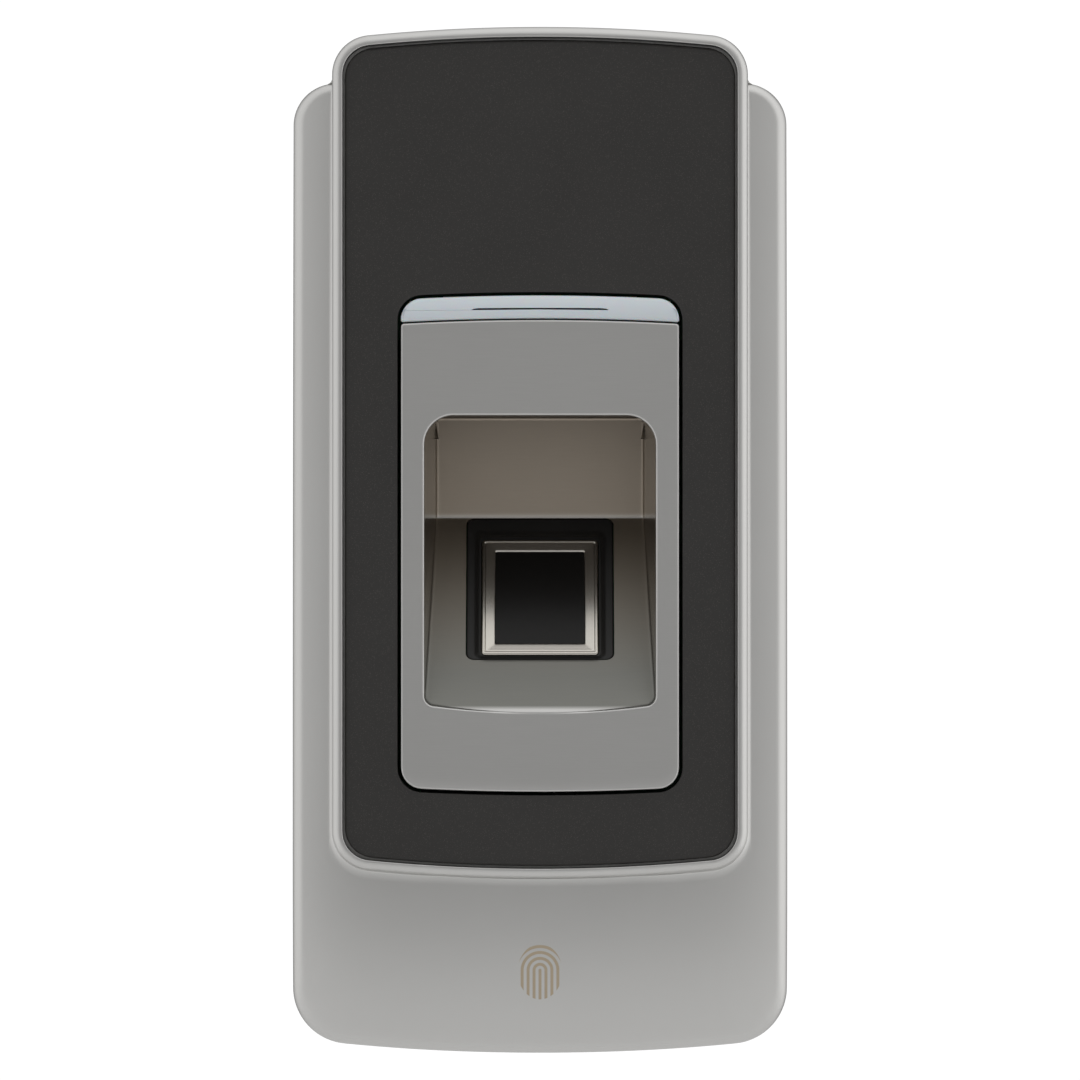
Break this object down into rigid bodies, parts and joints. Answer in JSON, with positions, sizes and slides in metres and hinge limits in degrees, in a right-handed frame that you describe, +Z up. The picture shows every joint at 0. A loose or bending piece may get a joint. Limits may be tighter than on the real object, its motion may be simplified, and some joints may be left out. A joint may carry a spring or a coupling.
{
  "type": "fingerprint scanner terminal",
  "caption": "Wall-mounted fingerprint reader terminal with a raised rim, black front panel, sloped finger pocket, tilted sensor, light bar and lift-off wall bracket.",
  "frame": {"origin": "centre of the wall bracket's flat back face, on the wall plane", "axes": "+X to the right seen from the front, +Y into the wall, +Z up along the terminal's length"},
  "size_m": [0.06, 0.035, 0.1242],
  "materials": {
    "satin_plated_zinc": "satin plated die-cast zinc, roughness about 0.3",
    "black_metallic_plastic": "fine matte black with metallic speckle",
    "rear_plastic": "moulded matte black",
    "lens_plastic": "translucent pale blue-grey, frosted",
    "black_rubber": "matte",
    "sensor_die_glass": "smooth coated silicon",
    "circuit_board": "solder mask",
    "component_black": "moulded epoxy",
    "connector_white": "moulded nylon",
    "flex_film": "amber polyimide film",
    "plated_steel": "zinc plated"
  },
  "bodies": {
    "wall_bracket": {"wall_bracket": "plated_steel"},
    "terminal": {"front_housing": "satin_plated_zinc", "finger_guide": "satin_plated_zinc", "sensor_drive_ring": "satin_plated_zinc", "front_panel": "black_metallic_plastic", "rear_cover": "rear_plastic", "indicator_lens": "lens_plastic", "light_diffuser": "lens_plastic", "panel_gasket": "black_rubber", "sensor_boot": "black_rubber", "sensor_die": "sensor_die_glass", "sensor_carrier_board": "circuit_board", "front_board": "circuit_board", "main_board": "circuit_board", "processor_chip": "component_black", "memory_chip": "component_black", "relay": "component_black", "buzzer": "component_black", "harness_header": "component_black", "tamper_switch_body": "component_black", "capacitor_1": "component_black", "capacitor_2": "component_black", "flex_connector": "connector_white", "front_board_connector": "connector_white", "status_led_1": "connector_white", "status_led_2": "connector_white", "status_led_3": "connector_white", "sensor_flex_cable": "flex_film", "front_board_flex_cable": "flex_film", "rear_cover_screw_1": "plated_steel", "rear_cover_screw_2": "plated_steel", "rear_cover_screw_3": "plated_steel", "rear_cover_screw_4": "plated_steel", "main_board_screw_1": "plated_steel", "main_board_screw_2": "plated_steel", "main_board_screw_3": "plated_steel", "main_board_screw_4": "plated_steel", "finger_guide_screw_1": "plated_steel", "finger_guide_screw_2": "plated_steel", "finger_guide_screw_3": "plated_steel", "finger_guide_screw_4": "plated_steel", "front_board_screw_1": "plated_steel", "front_board_screw_2": "plated_steel"},
    "tamper_plunger": {"tamper_plunger": "connector_white"},
    "security_screw": {"security_screw": "plated_steel"}
  },
  "joints": [
    {"name": "terminal_lift", "type": "slide", "parent": "wall_bracket", "child": "terminal", "axis": [0, 0, 1], "range_m": [0, 0.006]},
    {"name": "tamper_press", "type": "slide", "parent": "terminal", "child": "tamper_plunger", "axis": [0, -1, 0], "range_m": [0, 0.0015], "stiffness_N_per_m": 150, "springref_m": -0.0005},
    {"name": "security_screw_out", "type": "slide", "parent": "terminal", "child": "security_screw", "axis": [0, 0, -1], "range_m": [0, 0.008]}
  ]
}
